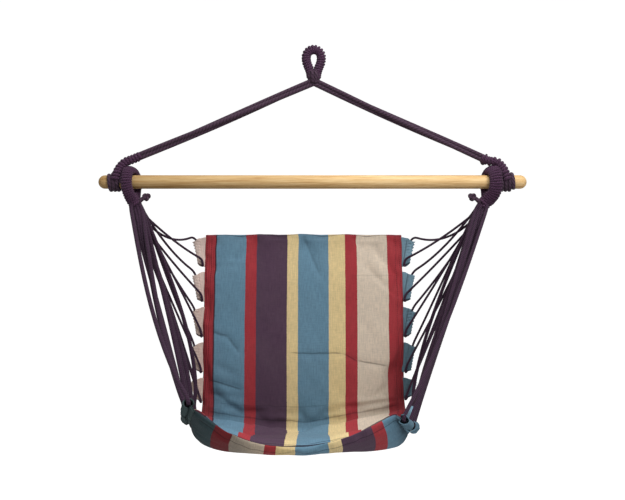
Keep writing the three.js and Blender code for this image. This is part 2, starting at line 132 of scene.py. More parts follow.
def even(path, spacing):
    """The same path with its points spread evenly along it."""
    path = np.array(path, float)
    reach = reach_along(path)
    count = max(2, int(round(reach[-1] / spacing)) + 1)
    goals = np.linspace(0, reach[-1], count)
    return np.stack([np.interp(goals, reach, path[:, k]) for k in range(3)], axis=1)


def frames_along(path):
    """Two unit vectors square to the path at each of its points, without twist."""
    tangent = unit(np.gradient(path, axis=0))
    start = np.cross(tangent[0], [0, 1, 0])
    if np.linalg.norm(start) < 0.1:
        start = np.cross(tangent[0], [0, 0, 1])
    normal = [unit(start)]
    for t in tangent[1:]:
        n = normal[-1]
        normal.append(unit(n - (n @ t) * t))
    normal = np.array(normal)
    return normal, np.cross(tangent, normal)


def coil(path, radius, pitch, steps, phase=0.0, flat=1.0):
    """A helix round a path; flat stretches it along the path frame's second direction."""
    length = reach_along(path)[-1]
    fine = even(path, pitch / steps)
    normal, binormal = frames_along(fine)
    turn = np.linspace(0, length / pitch, len(fine))[:, None] * 2 * pi + phase
    return fine + radius * (np.cos(turn) * normal + flat * np.sin(turn) * binormal)


def ring_faces(rows, columns):
    """Quads between the rings of a closed tube."""
    faces = []
    for row in range(rows - 1):
        for column in range(columns):
            a = row * columns + column
            b = row * columns + (column + 1) % columns
            faces.append((a, b, b + columns, a + columns))
    return faces


def smooth(mesh):
    mesh.polygons.foreach_set("use_smooth", [True] * len(mesh.polygons))


def placed(name, data):
    """A new object in the scene."""
    thing = bpy.data.objects.new(name, data)
    scene.collection.objects.link(thing)
    return thing


class Build:
    """Collects swept ropes and grids into one mesh with a vector attribute for its material."""

    def __init__(self):
        self.points, self.faces, self.coords, self.count = [], [], [], 0

    def add(self, points, faces, coords):
        self.points.append(np.asarray(points, float))
        self.coords.append(np.asarray(coords, float))
        self.faces.extend([tuple(i + self.count for i in face) for face in faces])
        self.count += len(points)

    def rope(self, path, radius, sides=8, flat=1.0):
        """A rope along a path. Its coordinates: length, and its angle's cosine and sine."""
        normal, binormal = frames_along(path)
        rows = len(path)
        radii = np.broadcast_to(np.asarray(radius, float), (rows,))[:, None, None]
        angle = np.linspace(0, 2 * pi, sides, endpoint=False)[None, :, None]
        ring = np.cos(angle) * normal[:, None] + flat * np.sin(angle) * binormal[:, None]
        angle = angle.ravel()
        points = (path[:, None] + radii * ring).reshape(-1, 3)
        steps = np.repeat(reach_along(path), sides)
        coords = [steps, np.tile(np.cos(angle), rows), np.tile(np.sin(angle), rows)]
        faces = ring_faces(rows, sides)
        faces.append(tuple(range(sides - 1, -1, -1)))
        faces.append(tuple(range((rows - 1) * sides, rows * sides)))
        self.add(points, faces, np.stack(coords, axis=1))

    def wrapped(self, path, radius, pitch, cord, flat=1.0):
        """A core with cord wound round it, turn beside turn, to an outer radius."""
        inner = radius - cord
        self.rope(even(path, 4 * MM), 0.93 * inner, sides=16, flat=flat)
        tight = (flat * radius - cord) / inner
        self.rope(coil(path, inner, pitch, steps=20, phase=0.7, flat=tight), cord, sides=7)

    def object(self, name, material, attribute="rope"):
        mesh = bpy.data.meshes.new(name)
        mesh.from_pydata(np.vstack(self.points).tolist(), [], self.faces)
        layer = mesh.attributes.new(attribute, "FLOAT_VECTOR", "POINT")
        layer.data.foreach_set("vector", np.vstack(self.coords).ravel())
        smooth(mesh)
        mesh.materials.append(material)
        mesh.update()
        return placed(name, mesh)


# ---- materials ----

def linear(red, green, blue):
    """A screen colour, 0 to 255, as linear light."""
    def one(c):
        c = c / 255
        return c / 12.92 if c <= 0.04045 else ((c + 0.055) / 1.055) ** 2.4
    return (one(red), one(green), one(blue), 1.0)


def grey(level):
    return (level, level, level, 1.0)


WHITE = grey(1.0)
BLACK = grey(0.0)


class Nodes:
    """Short names for building one material's node tree."""

    def __init__(self, name):
        self.material = bpy.data.materials.new(name)
        self.material.use_nodes = True
        self.tree = self.material.node_tree
        self.shader = self.tree.nodes["Principled BSDF"]

    def put(self, kind, **inputs):
        node = self.tree.nodes.new(kind)
        for key, value in inputs.items():
            self.feed(node, key, value)
        return node

    def feed(self, node, key, value):
        """Links a value to an input, given by its name or number, or sets it."""
        socket = node.inputs[key]
        if isinstance(value, bpy.types.NodeSocket):
            self.tree.links.new(value, socket)
        else:
            socket.default_value = value

    def math(self, operation, a, b=0.0, c=0.0):
        node = self.tree.nodes.new("ShaderNodeMath")
        node.operation = operation
        for index, value in enumerate((a, b, c)):
            self.feed(node, index, value)
        return node.outputs[0]

    def plus(self, a, b):
        return self.math("ADD", a, b)

    def minus(self, a, b):
        return self.math("SUBTRACT", a, b)

    def times(self, a, b):
        return self.math("MULTIPLY", a, b)

    def over(self, a, b):
        return self.math("DIVIDE", a, b)

    def larger(self, a, b):
        return self.math("MAXIMUM", a, b)

    def mix(self, share, a, b, blend="MIX"):
        node = self.tree.nodes.new("ShaderNodeMix")
        node.data_type = "RGBA"
        node.blend_type = blend
        for index, value in ((0, share), (6, a), (7, b)):
            self.feed(node, index, value)
        return node.outputs[2]

    def attribute(self, name):
        """The three parts of a mesh attribute, and the attribute as a vector."""
        node = self.tree.nodes.new("ShaderNodeAttribute")
        node.attribute_name = name
        split = self.put("ShaderNodeSeparateXYZ", Vector=node.outputs["Vector"])
        return split.outputs[0], split.outputs[1], split.outputs[2], node.outputs["Vector"]

    def place(self):
        return self.put("ShaderNodeTexCoord").outputs["Object"]

    def scaled(self, vector, factors):
        node = self.put("ShaderNodeMapping", Vector=vector)
        node.inputs["Scale"].default_value = factors
        return node.outputs[0]

    def noise(self, vector, scale, detail=3.0, roughness=0.5):
        settings = {"Vector": vector, "Scale": scale, "Detail": detail, "Roughness": roughness}
        return self.put("ShaderNodeTexNoise", **settings).outputs["Fac"]

    def ramp(self, factor, stops, constant=False):
        node = self.put("ShaderNodeValToRGB", Fac=factor)
        bar = node.color_ramp
        bar.interpolation = "CONSTANT" if constant else "LINEAR"
        while len(bar.elements) < len(stops):
            bar.elements.new(1.0)
        for element, (position, colour) in zip(bar.elements, stops):
            element.position = position
            element.color = colour
        return node.outputs["Color"]

    def bump(self, height, depth, strength=1.0, below=None):
        node = self.put("ShaderNodeBump", Height=height, Distance=depth, Strength=strength)
        if below is not None:
            self.feed(node, "Normal", below)
        return node.outputs["Normal"]

    def finish(self, colour, roughness, normal, sheen=0.0):
        self.feed(self.shader, "Base Color", colour)
        self.feed(self.shader, "Roughness", roughness)
        self.feed(self.shader, "Normal", normal)
        self.shader.inputs["Sheen Weight"].default_value = sheen
        self.shader.inputs["Sheen Roughness"].default_value = 0.6
        self.shader.inputs["Specular IOR Level"].default_value = 0.12
        return self.material


def rope_material(name, dark, light, lay, strands=3):
    """Laid rope: strands winding once per lay length, fibres on them, painted shade in the grooves."""
    n = Nodes(name)
    length, cosine, sine, _ = n.attribute("rope")
    angle = n.math("ARCTAN2", sine, cosine)
    turn = n.times(length, 2 * pi / lay)
    phase = n.times(n.plus(angle, turn), strands / 2)
    strand = n.math("ABSOLUTE", n.math("SINE", phase))
    fibre = n.noise(n.place(), 900.0, detail=4.0, roughness=0.7)
    wear = n.noise(n.place(), 45.0, roughness=0.6)
    # painted shade: the colour darkens into the grooves between the strands
    tone = n.plus(n.times(strand, 0.55), n.times(fibre, 0.45))
    colour = n.mix(tone, dark, light)
    colour = n.mix(n.times(wear, 0.25), colour, light)
    rough = n.math("MULTIPLY_ADD", fibre, 0.15, 0.8)
    fine = n.bump(fibre, 0.5 * MM, strength=0.6)
    return n.finish(colour, rough, n.bump(strand, 1.1 * MM, 0.8, fine), sheen=0.06)


def wood_material():
    """Pale turned wood: grain, pores and darker streaks along the bar, and painted shade darkening its
    left end.
    """
    n = Nodes("turned_wood")
    along = n.scaled(n.place(), (2.2, 60.0, 60.0))
    grain = n.noise(along, 5.0, detail=6.0, roughness=0.62)
    streak = n.noise(n.scaled(n.place(), (1.2, 38.0, 38.0)), 3.0)
    pores = n.noise(n.scaled(n.place(), (40.0, 900.0, 900.0)), 3.0, detail=2.0)
    colour = n.ramp(grain, [
        (0.30, linear(196, 152, 98)),
        (0.48, linear(222, 186, 132)),
        (0.62, linear(236, 206, 156)),
        (0.75, linear(216, 176, 120)),
    ])
    shade = n.ramp(streak, [(0.35, (0.80, 0.74, 0.66, 1)), (0.6, WHITE)])
    colour = n.mix(0.8, colour, shade, "MULTIPLY")
    # painted shade: the bar darkens towards its left end, away from the key light
    along_bar = n.put("ShaderNodeSeparateXYZ", Vector=n.place()).outputs[0]
    painted_left_shade = n.ramp(n.plus(along_bar, 0.5), [(0.0, (0.52, 0.48, 0.41, 1)), (0.62, WHITE)])
    colour = n.mix(1.0, colour, painted_left_shade, "MULTIPLY")
    height = n.plus(n.times(grain, 0.6), n.times(pores, 0.4))
    rough = n.math("MULTIPLY_ADD", grain, 0.25, 0.36)
    return n.finish(colour, rough, n.bump(height, 0.25 * MM, strength=0.5))


BLUE = linear(93, 129, 150)
RED = linear(155, 44, 53)
PURPLE = linear(74, 52, 72)
YELLOW = linear(212, 190, 140)
CREAM = linear(203, 188, 170)
# painted shade: the blue stripe at the lower face's left edge, given darker as it lies in shade
SHADED_BLUE = linear(72, 98, 104)
STRIPES = [  # width in mm and colour, from the left edge of the face to the right
    (30, RED), (72, BLUE), (27, RED), (75, PURPLE), (27, YELLOW),
    (74, BLUE), (40, YELLOW), (29, RED), (73, CREAM), (42, RED),
]
UNDER_STRIPES = [  # the same cloth turned over and sewn on a little to one side
    (55, SHADED_BLUE), (36, RED), (70, CREAM), (26, RED), (42, YELLOW), (70, BLUE),
    (28, YELLOW), (72, PURPLE), (26, RED), (64, BLUE),
]
SIDE_BAND = 30 * MM  # the sewn-on red band down the left edge


def weave(n, coords):
    """Height of a plain weave in cloth coordinates, and slubs: uneven threads along and across it."""
    THREAD = 1.5 * MM
    x, s, _, vector = coords
    warp = n.math("ABSOLUTE", n.math("SINE", n.times(x, pi / THREAD)))
    weft = n.math("ABSOLUTE", n.math("SINE", n.times(s, pi / THREAD)))
    threads = n.times(warp, weft)
    lengthwise = n.noise(n.scaled(vector, (420.0, 40.0, 1.0)), 1.0, roughness=0.65)
    crosswise = n.noise(n.scaled(vector, (60.0, 420.0, 1.0)), 1.0, roughness=0.65)
    slubs = n.plus(n.times(lengthwise, 0.6), n.times(crosswise, 0.4))
    return threads, slubs


def cloth_colour(n, base, threads, slubs):
    """Yarn-to-yarn colour variation and slow fading over the cloth."""
    light = n.ramp(slubs, [
        (0.32, (0.76, 0.77, 0.79, 1)), (0.5, grey(0.98)), (0.68, (1.2, 1.18, 1.15, 1)),
    ])
    colour = n.mix(1.0, base, light, "MULTIPLY")
    fade = n.noise(n.place(), 14.0, roughness=0.55)
    colour = n.mix(n.times(fade, 0.05), colour, linear(190, 180, 168))
    # painted shade in the gaps between the threads
    gaps = n.ramp(threads, [(0.0, (0.72, 0.72, 0.74, 1)), (0.35, WHITE)])
    return n.mix(0.25, colour, gaps, "MULTIPLY")


def cloth_relief(n, threads, slubs):
    height = n.plus(n.times(threads, 0.6), n.times(slubs, 0.9))
    return n.bump(height, 0.5 * MM, strength=0.55)


def near(n, value, target, width):
    """1 where value lies within width of target, otherwise 0."""
    return n.math("COMPARE", value, target, width)


def striped(n, place, stripes):
    total = sum(width for width, _ in stripes)
    stops, reach = [], 0.0
    for width, colour in stripes:
        stops.append((reach / total, colour))
        reach += width
    return n.ramp(place, stops, constant=True)


# the last number of each fold: how dark the shade painted along it is
FOLD_LINES = [  # sharp folds in the upper face: ends (x, s) and half width in mm, then how dark
    ((-34, 298), (98, 299), 2.6, 0.62),
    ((92, 297), (132, 319), 2.6, 0.62),
    ((126, 316), (204, 329), 2.8, 0.66),
    ((-222, 244), (-176, 260), 4.0, 0.5),
    ((-184, 256), (-152, 298), 4.5, 0.4),
    ((-230, 360), (-144, 386), 3.0, 0.66),
    ((-226, 430), (64, 424), 2.0, 0.3),
    ((-230, 462), (228, 460), 2.6, 0.5),
    ((112, 109), (226, 108), 1.8, 0.25),
    ((2, 16), (42, 114), 5.0, 0.28),
]


def fold_line(n, x, s, start, end, half_width):
    """1 along a straight fold, fading to 0 across it and at its ends."""
    FADE = 14 * MM
    a, b = np.array(start) * MM, np.array(end) * MM
    length = np.linalg.norm(b - a)
    run = (b - a) / length
    off_x = n.minus(x, a[0])
    off_s = n.minus(s, a[1])
    along = n.plus(n.times(off_x, run[0]), n.times(off_s, run[1]))
    across = n.minus(n.times(off_x, run[1]), n.times(off_s, run[0]))
    spread = n.over(n.math("ABSOLUTE", across), half_width * MM)
    nearness = n.larger(n.minus(1.0, spread), 0.0)
    ends = n.math("MINIMUM", along, n.minus(length, along))
    ends = n.larger(n.math("MINIMUM", n.over(ends, FADE), 1.0), 0.0)
    return n.times(nearness, ends)


def striped_material():
    """The cradle's cloth: stripes on the face, the same stripes mirrored underneath, sewn edges."""
    SEAM_LINES = (8 * MM, 19 * MM)  # rows of stitches, from the side edges
    STITCH = 5 * MM
    RIB = 5.5 * MM
    bright = (1.12, 1.12, 1.13, 1)
    n = Nodes("striped_canvas")
    coords = n.attribute("cloth")
    x, s, face, _ = coords
    under = n.math("GREATER_THAN", face, 0.5)
    ragged = n.times(n.minus(n.noise(n.place(), 260.0, detail=2.0), 0.5), 1.2 * MM)
    place = n.over(n.plus(n.plus(x, ragged), HALF_WIDTH), 2 * HALF_WIDTH)
    base = n.mix(under, striped(n, place, STRIPES), striped(n, place, UNDER_STRIPES))
    threads, slubs = weave(n, coords)
    colour = cloth_colour(n, base, threads, slubs)
    edge = n.minus(HALF_WIDTH, n.math("ABSOLUTE", x))
    upper = n.minus(1.0, under)
    seams = n.times(n.larger(*[near(n, edge, line, 0.8 * MM) for line in SEAM_LINES]), upper)
    dash = n.math("LESS_THAN", n.math("FRACT", n.over(s, STITCH)), 0.62)
    stitch = n.times(seams, dash)
    hems = n.larger(near(n, s, 6 * MM, 1.0 * MM), near(n, s, LENGTH - 18 * MM, 0.9 * MM))
    rim = n.times(near(n, s, LENGTH, 4.2 * MM), upper)
    wandering = n.times(n.minus(n.noise(n.place(), 26.0), 0.5), 9 * MM)
    wavy = n.plus(s, wandering)
    folds = 0.0
    for start, end, half_width, strength in FOLD_LINES:
        line = n.times(fold_line(n, x, wavy, start, end, half_width), strength)
        folds = n.larger(folds, line)
    folds = n.times(folds, upper)
    # dark seam lines: partly the colour of their thread, partly painted shade in the seams' grooves
    dark_lines = n.larger(n.times(hems, 0.6), n.times(rim, 0.85))
    colour = n.mix(n.times(stitch, 0.75), colour, linear(92, 34, 42))
    ribs = n.times(n.math("SINE", n.times(edge, 2 * pi / RIB)), 0.5)
    ribs = n.times(n.plus(ribs, 0.5), n.math("LESS_THAN", edge, SIDE_BAND - 4 * MM))
    ribs = n.times(ribs, upper)
    tuck = n.times(near(n, x, SIDE_BAND - HALF_WIDTH, 1.8 * MM), upper)
    # painted shade in the grooves of the side band's ribs
    colour = n.mix(n.times(ribs, 0.08), colour, linear(84, 22, 30))
    # painted shade: the cloth darkens near its side edges, more so lower down towards the crease
    side = n.ramp(n.over(edge, 60 * MM), [(0.0, WHITE), (1.0, BLACK)])
    low = n.ramp(n.over(s, CREASE), [(0.45, BLACK), (1.0, WHITE)])
    painted_side_shade = n.times(n.times(side, low), 0.4)
    colour = n.mix(painted_side_shade, colour, linear(30, 20, 26))
    colour = n.mix(dark_lines, colour, linear(34, 26, 38))
    # painted shade along the sharp folds
    colour = n.mix(n.times(folds, 0.8), colour, linear(26, 26, 34))
    # painted shade on the lower back and painted light on the seat's upper face, which faces the light
    shade = n.ramp(n.over(s, LENGTH), [
        (0.0, WHITE), (0.30, WHITE), (0.50, grey(0.78)),
        (0.54, grey(0.80)), (0.56, bright), (1.0, bright),
    ])
    colour = n.mix(upper, colour, shade, "MULTIPLY")
    # painted shade on the left and at the right end of the seat's lower face, painted light across its
    # middle
    beneath = n.ramp(n.plus(n.over(x, 2 * HALF_WIDTH), 0.5), [
        (0.0, grey(0.5)), (0.22, grey(0.52)), (0.36, (1.1, 1.06, 1.0, 1)),
        (0.5, grey(1.3)), (0.92, grey(1.3)), (1.0, grey(0.62)),
    ])
    seat = n.ramp(n.over(s, LENGTH), [(0.50, BLACK), (0.60, WHITE)])
    colour = n.mix(n.times(under, seat), colour, beneath, "MULTIPLY")
    # painted shade in the tuck where the side band is sewn on
    colour = n.mix(n.times(tuck, 0.8), colour, linear(44, 26, 36))
    rough = n.math("MULTIPLY_ADD", slubs, 0.12, 0.82)
    normal = cloth_relief(n, threads, slubs)
    grooves = n.larger(n.times(seams, 0.7), n.larger(tuck, ribs))
    grooves = n.larger(grooves, n.larger(hems, folds))
    normal = n.bump(n.minus(1.0, grooves), 1.2 * MM, 0.6, normal)
    return n.finish(colour, rough, n.bump(stitch, 0.6 * MM, 0.7, normal), sheen=0.03)


def border_material(name, stops):
    """Border cloth whose colour changes along the cloth, darkening as painted shade: stops are (s in
    metres, colour).
    """
    n = Nodes(name)
    coords = n.attribute("cloth")
    threads, slubs = weave(n, coords)
    base = n.ramp(n.over(coords[1], LENGTH), [(s / LENGTH, colour) for s, colour in stops])
    rough = n.math("MULTIPLY_ADD", slubs, 0.12, 0.84)
    normal = cloth_relief(n, threads, slubs)
    return n.finish(cloth_colour(n, base, threads, slubs), rough, normal, sheen=0.03)


ROPE = rope_material("laid_rope", linear(34, 22, 33), linear(78, 57, 74), lay=26 * MM)
WHIPPING = rope_material("whipping_cord", linear(36, 18, 36), linear(80, 50, 76), lay=14 * MM)
CORD = rope_material("cradle_cord", linear(30, 18, 31), linear(68, 45, 66), lay=13 * MM)


# ---- placing pieces ----

def at_bar(points, sign):
    """Points in millimetres from the bar's middle, given for the left side; the right is mirrored."""
    points = np.array(points, float) * MM
    points[..., 0] *= -sign
    return points + BAR_CENTRE


def stand_for(thing, material_slot, *nodes):
    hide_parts(*nodes)


def settle(thing, body, material_slot, *nodes):
    stand_for(thing, material_slot, *nodes)
    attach(thing, body)


SIDES = (("left", -1), ("right", 1))


# ---- the bar ----

def spreader_bar():
    """A turned bar with rounded ends, a touch uneven along its length."""
    UNEVEN = 0.006
    angle = np.linspace(0, pi / 2, 10)
    cap_x = BAR_LENGTH / 2 - BAR_RADIUS * (1 - np.cos(angle))
    cap = np.stack([cap_x, BAR_RADIUS * np.sin(angle)], axis=1)
    cap[0, 1] = 0.4 * MM
    straight = np.linspace(cap[-1, 0], -cap[-1, 0], 60)[1:-1]
    middle = np.stack([straight, np.full_like(straight, BAR_RADIUS)], axis=1)
    profile = np.vstack([cap, middle, cap[::-1] * [-1, 1]])[::-1]
    profile[:, 1] *= 1 - UNEVEN * (1 + np.sin(profile[:, 0] * 37)) / 2
    path = np.zeros((len(profile), 3))
    path[:, 0] = profile[:, 0]
    made = Build()
    made.rope(path + BAR_CENTRE, profile[:, 1], sides=48)
    settle(made.object("turned_spreader_bar", wood_material()), "spreader_bar", "wood", "spreader_bar")


# ---- ropes above the bar ----

def top_eye():
    """The whipped eye that the hook goes through: a round crown whose sides close into the throat."""
    CROWN = 17.5  # the crown's radius and the height of its middle, in mm
    CROWN_Z = -8
    side = [(6, -57), (6.8, -49), (9, -40), (12.5, -31), (16.2, -22), (17.5, -13)]
    angle = np.radians(np.arange(10, 171, 20))
    crown = [(CROWN * cos(a), CROWN_Z + CROWN * sin(a)) for a in angle]
    line = side + crown + [(-x, z) for x, z in side[::-1]]
    path = spline([(x * MM, 0, z * MM) for x, z in line], 2 * MM)
    made = Build()
    made.wrapped(path, 11.4 * MM, pitch=5.6 * MM, cord=3.4 * MM)
    eye = made.object("whipped_top_eye", WHIPPING)
    settle(eye, "top_eye", "rope_whipping", "top_eye_loop", "top_eye_whipping")


def throat():
    """The leg cords run up side by side into the foot of the eye."""
    STRANDS = 9
    STOPS = [(10.5, -41), (11.9, -47), (11.6, -54), (9.4, -61), (6.5, -68)]  # radius and height in mm
    made = Build()
    for k in range(STRANDS):
        angle = 2 * pi * (k + 0.3) / STRANDS
        out = np.array([cos(angle), sin(angle), 0])
        path = [out * radius * MM + np.array([0, 0, z * MM]) for radius, z in STOPS]
        made.rope(spline(path, 1.5 * MM), 4.5 * MM, sides=10)
    settle(made.object("bundled_throat", ROPE), "throat", "rope_whipping", "throat_whipping")


def fork_lashing():
    """Nearly two turns of cord that keep the legs together where they part."""
    made = Build()
    post = np.array([[0, 0, -5 * MM], [0, 0, 3 * MM]]) + FORK
    made.rope(coil(even(post, 1 * MM), 5.5 * MM, pitch=4.6 * MM, steps=20), 2.6 * MM)
    settle(made.object("lashed_fork", ROPE), "fork", "rope", "fork_lashing")


LEG_SLOPE = radians(23)
LEG_END = 404  # mm from the bar's middle to where the whipping starts
FORK_HEIGHT = (FORK - BAR_CENTRE)[2] / MM
LEG_DROP = {-1: 4, 1: 9}  # mm by which each leg ends lower than its straight line
ROPES_LEFT = -3  # mm by which every rope on the bar sits left of the bar's own middle
TURNS_AT = -457  # mm along the bar to the middle of its rope turns


def leg_height(x):
    """Height in mm above the bar of a leg's straight line, x mm from the middle."""
    return FORK_HEIGHT - x * tan(LEG_SLOPE)


def rope_at_bar(points, sign):
    return at_bar(points, sign) + np.array([ROPES_LEFT * MM, 0, 0])


def leg(name, sign):
    """Three laid cords that turn slowly round one another from the fork to the whipped bend."""
    CORDS = 3
    start = FORK + np.array([sign * 2, 0, -1]) * MM
    end = rope_at_bar([-LEG_END - 4, 0, leg_height(LEG_END + 4) - LEG_DROP[sign]], sign)
    middle = (start + end) / 2 - np.array([0, 0, 1.5]) * MM
    line = spline([start, middle, end], 12 * MM)
    made = Build()
    for k in range(CORDS):
        phase = 2 * pi * k / CORDS + 0.5
        made.rope(coil(line, 5.1 * MM, pitch=1.3, steps=200, phase=phase), 5.2 * MM, 10)
    nodes = [f"{name}_hanger_cord_{k + 1}" for k in range(CORDS)]
    settle(made.object(f"{name}_twisted_leg", ROPE), "hanger", "rope", *nodes)


def leg_end(name, sign):
    """The whipped bend at the end of a leg, and three turns of rope round the bar."""
    high = leg_height(LEG_END) - LEG_DROP[sign]
    bend = [
        (-LEG_END + 4, 0, high + 1.7), (-LEG_END - 12, -1, high - 5), (-432, -3, 47),
        (-442, -6, 38), (-449, -10, 27), (-453, -15, 15), (-456, -18, 4),
    ]
    made = Build()
    path = spline(rope_at_bar(bend, sign), 2 * MM)
    made.wrapped(path, 11.4 * MM, pitch=7.6 * MM, cord=4.2 * MM)
    thing = made.object(f"{name}_whipped_leg_end", WHIPPING)
    settle(thing, "hanger", "rope_whipping", f"{name}_hanger_end_whipping")
    turns = Build()
    run = even(rope_at_bar([(TURNS_AT - 13.5, 0, 0), (TURNS_AT + 14.5, 0, 0)], sign), 1 * MM)
    turns.rope(coil(run, 18.5 * MM, pitch=8.8 * MM, steps=36, phase=0.6), 4.8 * MM, 10)
    thing = turns.object(f"{name}_bar_turns", ROPE)
    settle(thing, "hanger", "rope", f"{name}_hanger_end_turns")


def knot(made, centre, size, cord):
    """A small overhand knot as a closed trefoil of cord."""
    t = np.linspace(0, 2 * pi, 80)
    loop = [np.sin(t) + 2 * np.sin(2 * t), 1.2 * np.sin(3 * t), np.cos(t) - 2 * np.cos(2 * t)]
    made.rope(centre + size / 3 * np.stack(loop, axis=1), cord)


def tail_knot():
    """The knotted end of the right leg's cord, just under the leg."""
    made = Build()
    centre = at_bar([-398, 0, leg_height(398) - 17], 1)
    knot(made, centre, size=5.6 * MM, cord=3.2 * MM)
    stops = np.array([(0, 0, 0), (5, -1, 8), (9, 0, 17)]) * MM
    made.rope(spline(centre + stops, 1.5 * MM), 2.4 * MM)
    settle(made.object("right_leg_tail", ROPE), "hanger", "rope", "right_hanger_tail_knot")


# ---- the cloth's rope loops on the bar ----

INWARD = {-1: 0, 1: 9}  # mm by which each throat leans inwards
EYE_RADII = {-1: 13.8 * MM, 1: 16 * MM}


def sling_eye(name, sign):
    """A flat whipped loop over the bar, leaning inwards behind it, with a whipped throat below."""
    lean = INWARD[sign]
    loop = [
        (-416 + lean / 2, -8, -44), (-424, -20, -27), (-428, -27, -8), (-428, -26, 10),
        (-426, -17, 23), (-421, -2, 28), (-415, 14, 24), (-411, 25, 11),
        (-410, 27, -6), (-411, 20, -24), (-411, 8, -42),
    ]
    made = Build()
    path = spline(rope_at_bar(loop, sign), 2 * MM)
    made.wrapped(path, EYE_RADII[sign], pitch=5.4 * MM, cord=3.4 * MM, flat=0.64)
    thing = made.object(f"{name}_whipped_sling_eye", WHIPPING)
    settle(thing, "sling", "rope_whipping", f"{name}_sling_eye", f"{name}_sling_eye_whipping")
    neck = Build()
    stops = [(-423 + lean / 3, 0, -29), (-416 + lean / 2, 0, -42), (-408 + lean, 0, -54)]
    path = spline(rope_at_bar(stops, sign), 2 * MM)
    neck.wrapped(path, 16.6 * MM, pitch=6.4 * MM, cord=4 * MM)
    thing = neck.object(f"{name}_whipped_throat", WHIPPING)
    settle(thing, "sling", "rope_whipping", f"{name}_sling_throat_whipping")
    tail = Build()
    centre = rope_at_bar([-384 + lean, -6, -35], sign)
    knot(tail, centre, size=6.8 * MM, cord=3.8 * MM)
    root = rope_at_bar([-402 + lean, -8, -48], sign)
    mid = (root + centre) / 2 + np.array([0, 0, 2]) * MM
    tail.rope(spline([root, mid, centre], 1.5 * MM), 5 * MM)
    thing = tail.object(f"{name}_sling_tail", ROPE)
    settle(thing, "sling", "rope", f"{name}_sling_tail_knot")


# ---- the cloth's hanging shape ----

def bezier(*corners):
    """A run of points (y, z) on a Bezier curve of any order."""
    t = np.linspace(0, 1, 200)[:, None]
    points = [np.array(corner, float)[None] + 0 * t for corner in corners]
    while len(points) > 1:
        points = [a + (b - a) * t for a, b in zip(points, points[1:])]
    return points[0] * MM


BACK_RUN = bezier((167, -115), (86, -540))
BEND_RUN = bezier((86, -540), (78, -580), (28, -589))
SEAT_RUN = bezier((28, -589), (-57, -596), (-230, -581), (-335, -560))
MIDDLE = np.vstack([BACK_RUN, BEND_RUN[1:], SEAT_RUN[1:]])
REACH = reach_along(MIDDLE)
BACK_LENGTH = REACH[len(BACK_RUN) - 1]
BEND_END = REACH[len(BACK_RUN) + len(BEND_RUN) - 2]
LENGTH = REACH[-1]
CREASE = (BACK_LENGTH + BEND_END) / 2


def ahead(s):
    """0 up to the crease, growing to 1 at the seat's front edge."""
    return np.clip((s - CREASE) / (LENGTH - CREASE), 0, 1)


def face_at(x, s):
    """Points of the cloth's upper face."""
    x, s = np.broadcast_arrays(np.asarray(x, float), np.asarray(s, float))
    curl = BACK_CURL * np.sin(pi * np.clip(s / CREASE, 0, 1))
    lift = np.where(x < 0, *SAG_LIFTS) * ahead(s) ** SAG_POWER
    corner = np.where(x < 0, *CORNER_LIFTS) * np.exp(-(((s - CREASE) / CORNER_REACH) ** 2))
    edge = np.where(x < 0, *EDGE_LIFTS) * np.sin(pi * ahead(s) ** 0.7)
    roll = np.where(x < 0, *ROLL_DROPS) * ahead(s) ** 2
    sag = np.hypot(curl, lift) / HALF_WIDTH
    aside = np.abs(x) / HALF_WIDTH
    y = np.interp(s, REACH, MIDDLE[:, 0]) - curl * aside**2
    z = np.interp(s, REACH, MIDDLE[:, 1]) + lift * aside ** np.where(x < 0, *SAG_SHAPES)
    z = z + corner * aside ** np.where(x < 0, *CORNER_SHAPES)
    z = z + edge * aside**EDGE_SHAPE - roll * aside**ROLL_SHAPE
    tuck = np.where(x < 0, *TUCKS) * ahead(s) * aside**3
    place = np.stack([x * (1 - 2 / 3 * sag**2 - tuck), y, z], axis=-1)
    return place + np.array([CLOTH_X, BAR_CENTRE[1], BAR_CENTRE[2]])


def from_seam(x, s):
    """Distance to the nearest of the cloth's four edges."""
    return np.minimum(np.minimum(HALF_WIDTH - np.abs(x), s), LENGTH - s)


def axes_at(x, s):
    """Unit vectors across the cloth and out of its lower face."""
    STEP = 0.5 * MM
    across = unit(face_at(x + STEP, s) - face_at(x - STEP, s))
    low = np.maximum(s - STEP, 0)
    high = np.minimum(s + STEP, LENGTH)
    along = unit(face_at(x, high) - face_at(x, low))
    return across, unit(np.cross(across, along))


def on_cloth(x, s, depth):
    """Cloth coordinates to space: depth is measured from the upper face to the lower one."""
    _, out = axes_at(x, s)
    return face_at(x, s) + out * np.asarray(depth)[..., None]


def on_tab(sign, s, beyond, depth):
    """Points of a scallop: beyond the cloth's edge, and depth from the scallop's own middle plane."""
    edge = np.full(np.shape(s), sign * HALF_WIDTH)
    across, out = axes_at(edge, s)
    share = np.clip((s - BACK_LENGTH) / (BEND_END - BACK_LENGTH), 0, 1)[..., None]
    lift = BACK_TAB_LIFT + share * (SEAT_TAB_LIFT - BACK_TAB_LIFT)
    outward = across * sign
    reach = outward * np.cos(lift) - out * np.sin(lift)
    below = out * np.cos(lift) + outward * np.sin(lift)
    root = face_at(edge, s) + out * THICKNESS / 2
    return root + reach * np.asarray(beyond)[..., None] + below * np.asarray(depth)[..., None]


# ---- the cushion ----

def waves(x, s, seed, count, longest, shortest):
    """A smooth uneven surface between -1 and 1: a few sine waves in seeded directions."""
    rng = np.random.default_rng(seed)
    total = np.zeros(np.broadcast(x, s).shape)
    for length in np.geomspace(longest, shortest, count):
        heading, phase = rng.uniform(0, 2 * pi, 2)
        total += np.sin((x * cos(heading) + s * sin(heading)) * 2 * pi / length + phase)
    return total / count


